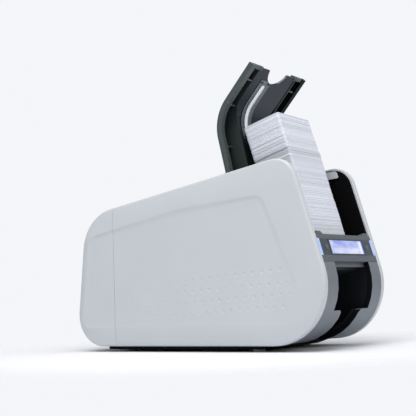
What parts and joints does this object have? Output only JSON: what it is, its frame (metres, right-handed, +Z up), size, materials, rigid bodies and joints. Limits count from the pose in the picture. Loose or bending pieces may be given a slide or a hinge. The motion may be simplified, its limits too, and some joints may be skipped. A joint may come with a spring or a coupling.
{
  "type": "id card printer",
  "caption": "Desktop card printer with a bent hinged hopper cover over a card pile, a ribbon lid, display bar, output bay, belt-driven rollers and rear ports.",
  "frame": {"origin": "centre of the overall box at desk level", "axes": "+X to the right seen from the front, +Y to the rear along the machine, +Z up"},
  "size_m": [0.173, 0.3878, 0.367],
  "materials": {
    "panel_white": "satin white ABS",
    "inner_black": "black ABS",
    "foot_rubber": "grey rubber",
    "shell_grey": "dark grey ABS",
    "cover_grey": "dark grey ABS, half gloss",
    "clear_window": "clear polycarbonate",
    "front_grey": "mid grey ABS",
    "screen": "lit liquid crystal display",
    "board_green": "glass-fibre board",
    "led_blue": "lit light guide",
    "button_grey": "grey ABS",
    "pad_grey": "light grey plastic",
    "card_white": "white PVC cards",
    "steel": "ground steel",
    "roller_rubber": "roller rubber",
    "cleaning_blue": "tacky silicone",
    "sheet_metal": "zinc-plated sheet",
    "head_ceramic": "thermal head substrate",
    "sink_aluminium": "extruded fins",
    "cassette_white": "white ABS",
    "ribbon_blue": "dye film",
    "ribbon_dark": "used film",
    "motor_metal": "black stepper motor",
    "pulley_brass": "brass",
    "belt_rubber": "timing belt rubber",
    "port_metal": "tinned steel shell"
  },
  "bodies": {
    "machine": {"side_panel_left": "panel_white", "side_panel_right": "panel_white", "rear_panel_left": "panel_white", "rear_panel_right": "panel_white", "chassis_left": "inner_black", "chassis_right": "inner_black", "base_tray": "inner_black", "feet": "foot_rubber", "rear_cover": "shell_grey", "lcd_bezel": "front_grey", "lcd_screen": "screen", "lcd_board": "board_green", "led_left": "led_blue", "led_right": "led_blue", "bay_frame": "front_grey", "bay_liner": "inner_black", "exit_guide": "shell_grey", "hopper_floor": "inner_black", "hopper_back": "inner_black", "card_guides": "inner_black", "rest_pads": "pad_grey", "card_stack": "card_white", "card_stack_top": "card_white", "path_plate": "sheet_metal", "ribbon_frame": "cassette_white", "ribbon_film": "ribbon_blue", "motor": "motor_metal", "main_belt": "belt_rubber", "pickup_belt": "belt_rubber", "mainboard": "board_green", "power_jack": "inner_black", "usb_port": "port_metal", "lan_port": "port_metal"},
    "hopper_cover": {"hopper_cover": "cover_grey", "cover_window": "clear_window"},
    "top_cover": {"top_cover": "shell_grey"},
    "head": {"head_frame": "sheet_metal", "print_head": "head_ceramic", "heat_sink": "sink_aluminium"},
    "button_left": {"button_left": "button_grey"},
    "button_right": {"button_right": "button_grey"},
    "power_switch": {"power_switch": "inner_black"},
    "platen_roller": {"platen_shaft": "steel", "platen_tyre": "roller_rubber"},
    "feed_roller": {"feed_shaft": "steel", "feed_tyre": "roller_rubber"},
    "pickup_roller": {"pickup_shaft": "steel", "pickup_tyre": "roller_rubber"},
    "eject_roller": {"eject_shaft": "steel", "eject_tyre": "roller_rubber"},
    "motor_rotor": {"motor_pulley": "pulley_brass"},
    "feed_pinch": {"feed_pinch": "steel"},
    "eject_pinch": {"eject_pinch": "steel"},
    "cleaning_roller": {"cleaning_roller": "cleaning_blue"},
    "supply_spool": {"supply_spool": "ribbon_blue"},
    "takeup_spool": {"takeup_spool": "ribbon_dark"}
  },
  "joints": [
    {"name": "hopper_cover_hinge", "type": "hinge", "parent": "machine", "child": "hopper_cover", "pos_m": [0, -0.054, 0.2237], "axis": [1, 0, 0], "range_deg": [0, 103.5], "deforming": ["card_stack_top"]},
    {"name": "top_cover_hinge", "type": "hinge", "parent": "machine", "child": "top_cover", "pos_m": [0, 0.128, 0.1878], "axis": [-1, 0, 0], "range_deg": [0, 78]},
    {"name": "head_lift", "type": "hinge", "parent": "machine", "child": "head", "pos_m": [0, 0.094, 0.116], "axis": [-1, 0, 0], "range_deg": [0, 10]},
    {"name": "left_button_press", "type": "slide", "parent": "machine", "child": "button_left", "axis": [0, 0.9622, -0.2723], "range_m": [0, 0.0008], "stiffness_N_per_m": 400, "springref_m": -0.0003},
    {"name": "right_button_press", "type": "slide", "parent": "machine", "child": "button_right", "axis": [0, 0.9622, -0.2723], "range_m": [0, 0.0008], "stiffness_N_per_m": 400, "springref_m": -0.0003},
    {"name": "power_rocker", "type": "hinge", "parent": "machine", "child": "power_switch", "pos_m": [0, 0.18615, 0.06538], "axis": [1, 0, 0], "range_deg": [0, 16]},
    {"name": "platen_spin", "type": "hinge", "parent": "machine", "child": "platen_roller", "pos_m": [0, 0.025, 0.0717], "axis": [1, 0, 0], "continuous": true},
    {"name": "feed_spin", "type": "hinge", "parent": "machine", "child": "feed_roller", "pos_m": [0, -0.0968, 0.08976], "axis": [1, 0, 0], "continuous": true},
    {"name": "pickup_spin", "type": "hinge", "parent": "machine", "child": "pickup_roller", "pos_m": [0, -0.12659, 0.0983], "axis": [1, 0, 0], "continuous": true},
    {"name": "eject_spin", "type": "hinge", "parent": "machine", "child": "eject_roller", "pos_m": [0, -0.112, 0.0717], "axis": [1, 0, 0], "continuous": true},
    {"name": "motor_spin", "type": "hinge", "parent": "machine", "child": "motor_rotor", "pos_m": [0, -0.04, 0.042], "axis": [1, 0, 0], "continuous": true},
    {"name": "feed_pinch_spin", "type": "hinge", "parent": "machine", "child": "feed_pinch", "pos_m": [0, -0.09298, 0.10308], "axis": [1, 0, 0], "continuous": true},
    {"name": "eject_pinch_spin", "type": "hinge", "parent": "machine", "child": "eject_pinch", "pos_m": [0, -0.112, 0.08406], "axis": [1, 0, 0], "continuous": true},
    {"name": "cleaning_spin", "type": "hinge", "parent": "machine", "child": "cleaning_roller", "pos_m": [0, -0.062, 0.08606], "axis": [1, 0, 0], "continuous": true},
    {"name": "supply_spin", "type": "hinge", "parent": "machine", "child": "supply_spool", "pos_m": [0, 0.06, 0.126], "axis": [1, 0, 0], "continuous": true},
    {"name": "takeup_spin", "type": "hinge", "parent": "machine", "child": "takeup_spool", "pos_m": [0, -0.014, 0.126], "axis": [1, 0, 0], "continuous": true}
  ],
  "couplings": [
    {"joint": "feed_spin", "follows": "platen_spin", "ratio": 1},
    {"joint": "pickup_spin", "follows": "platen_spin", "ratio": 1},
    {"joint": "eject_spin", "follows": "platen_spin", "ratio": 1},
    {"joint": "motor_spin", "follows": "platen_spin", "ratio": 1.6},
    {"joint": "feed_pinch_spin", "follows": "platen_spin", "ratio": -1.2727},
    {"joint": "eject_pinch_spin", "follows": "platen_spin", "ratio": -1.75},
    {"joint": "cleaning_spin", "follows": "platen_spin", "ratio": -1.1667}
  ]
}
